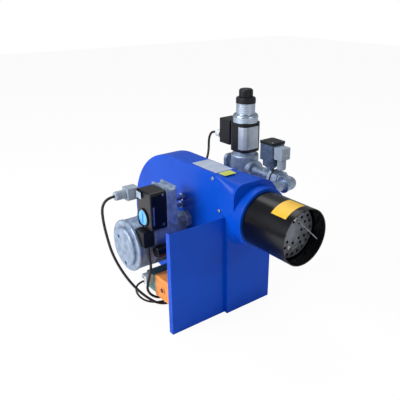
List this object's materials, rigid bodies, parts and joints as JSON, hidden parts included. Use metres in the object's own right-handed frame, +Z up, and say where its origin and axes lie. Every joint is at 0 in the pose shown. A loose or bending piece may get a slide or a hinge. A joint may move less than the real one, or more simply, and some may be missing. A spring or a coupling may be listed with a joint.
{
  "type": "industrial gas burner",
  "caption": "Packaged gas burner: volute fan casing with motor, blast tube with diffuser, air damper, solenoid gas valve train, pressure switches and control box.",
  "frame": {"origin": "on the blast tube's axis, at the rear end of the tube's free length, half a millimetre in front of the neck ring", "axes": "-Y along the blast tube towards the flame, +Z up, the motor on the -X side and the gas valve on the +X side"},
  "size_m": [0.446, 0.591, 0.502],
  "materials": {
    "blue_paint": "smooth powder coat, satin gloss",
    "black_paint": "heat-resistant gloss black",
    "zinc_steel": "zinc plated",
    "steel": "bare sheet and turned steel",
    "heat_steel": "heat-tinted steel",
    "ceramic": "glazed ceramic",
    "cast_aluminium": "die cast, lightly blasted",
    "turned_aluminium": "fine turned",
    "galvanised": "hot-dip galvanised malleable iron",
    "brass": "turned",
    "black_plastic": "fine moulded grain",
    "black_gloss": "smooth moulded",
    "grey_plastic": "moulded light grey",
    "white_plastic": "moulded white",
    "blue_plastic": "smooth light blue",
    "orange_plastic": "moulded orange",
    "green_plastic": "cast resin",
    "lid_black": "moulded",
    "red_plastic": "smooth moulded",
    "rubber": "matt",
    "cable_black": "extruded sheath"
  },
  "bodies": {
    "burner": {"fan_casing": "blue_paint", "neck_ring": "blue_paint", "wing_plate": "blue_paint", "air_box": "blue_paint", "casing_screws": "zinc_steel", "intake_grille": "black_paint", "inlet_ring": "steel", "blast_tube": "black_paint", "gas_lance": "steel", "gas_head": "heat_steel", "diffuser": "heat_steel", "electrode_ceramics": "ceramic", "electrode_wires": "steel", "motor_flange": "cast_aluminium", "flange_bolts": "zinc_steel", "motor_housing": "cast_aluminium", "motor_capacitor": "black_gloss", "motor_shell": "cast_aluminium", "motor_end_cap": "cast_aluminium", "motor_bearings": "steel", "stator": "steel", "motor_terminal_box": "black_plastic", "air_switch_base": "cast_aluminium", "air_switch_cover": "black_gloss", "air_switch_nipples": "brass", "air_switch_plug": "grey_plastic", "ignition_transformer": "green_plastic", "supply_connector": "white_plastic", "control_base": "black_plastic", "control_box": "orange_plastic", "outlet_nipple": "galvanised", "elbow": "galvanised", "union_nut": "galvanised", "union_seal": "rubber", "valve_nipple": "galvanised", "valve_body": "cast_aluminium", "valve_coil": "black_plastic", "core_tube": "turned_aluminium", "damper_housing": "turned_aluminium", "cap_ring": "black_plastic", "valve_spring": "steel", "coil_terminal_box": "black_plastic", "coil_gland": "white_plastic", "gas_switch_body": "cast_aluminium", "gas_switch_lid": "lid_black", "gas_switch_plug": "grey_plastic", "air_switch_cable": "cable_black", "motor_cable": "cable_black", "connector_lead": "cable_black", "valve_cable": "cable_black", "cable_grommets": "rubber"},
    "fan": {"fan_wheel": "zinc_steel", "motor_shaft": "steel", "rotor": "steel"},
    "damper": {"damper_flap": "steel", "damper_lever": "zinc_steel"},
    "valve_core": {"valve_plunger": "steel"},
    "throttle_knob": {"flow_knob": "black_plastic"},
    "air_dial": {"air_switch_dial": "blue_plastic"},
    "reset": {"reset_button": "red_plastic"}
  },
  "joints": [
    {"name": "fan_spin", "type": "hinge", "parent": "burner", "child": "fan", "pos_m": [-0.1, 0.261, -0.105], "axis": [1, 0, 0], "continuous": true},
    {"name": "damper_turn", "type": "hinge", "parent": "burner", "child": "damper", "pos_m": [0.03, 0.323, -0.22325], "axis": [1, 0, 0], "range_deg": [0, 90]},
    {"name": "valve_lift", "type": "slide", "parent": "burner", "child": "valve_core", "axis": [0, 0, 1], "range_m": [0, 0.006], "stiffness_N_per_m": 300, "springref_m": -0.01, "deforming": ["valve_spring"]},
    {"name": "knob_turn", "type": "hinge", "parent": "burner", "child": "throttle_knob", "pos_m": [0.128, 0.216, 0.24], "axis": [0, 0, 1], "range_deg": [-135, 135]},
    {"name": "dial_turn", "type": "hinge", "parent": "burner", "child": "air_dial", "pos_m": [-0.19, 0.208, -0.016], "axis": [1, 0, 0], "range_deg": [0, 270]},
    {"name": "reset_press", "type": "slide", "parent": "burner", "child": "reset", "axis": [1, 0, 0], "range_m": [0, 0.003], "stiffness_N_per_m": 500, "springref_m": -0.002}
  ]
}
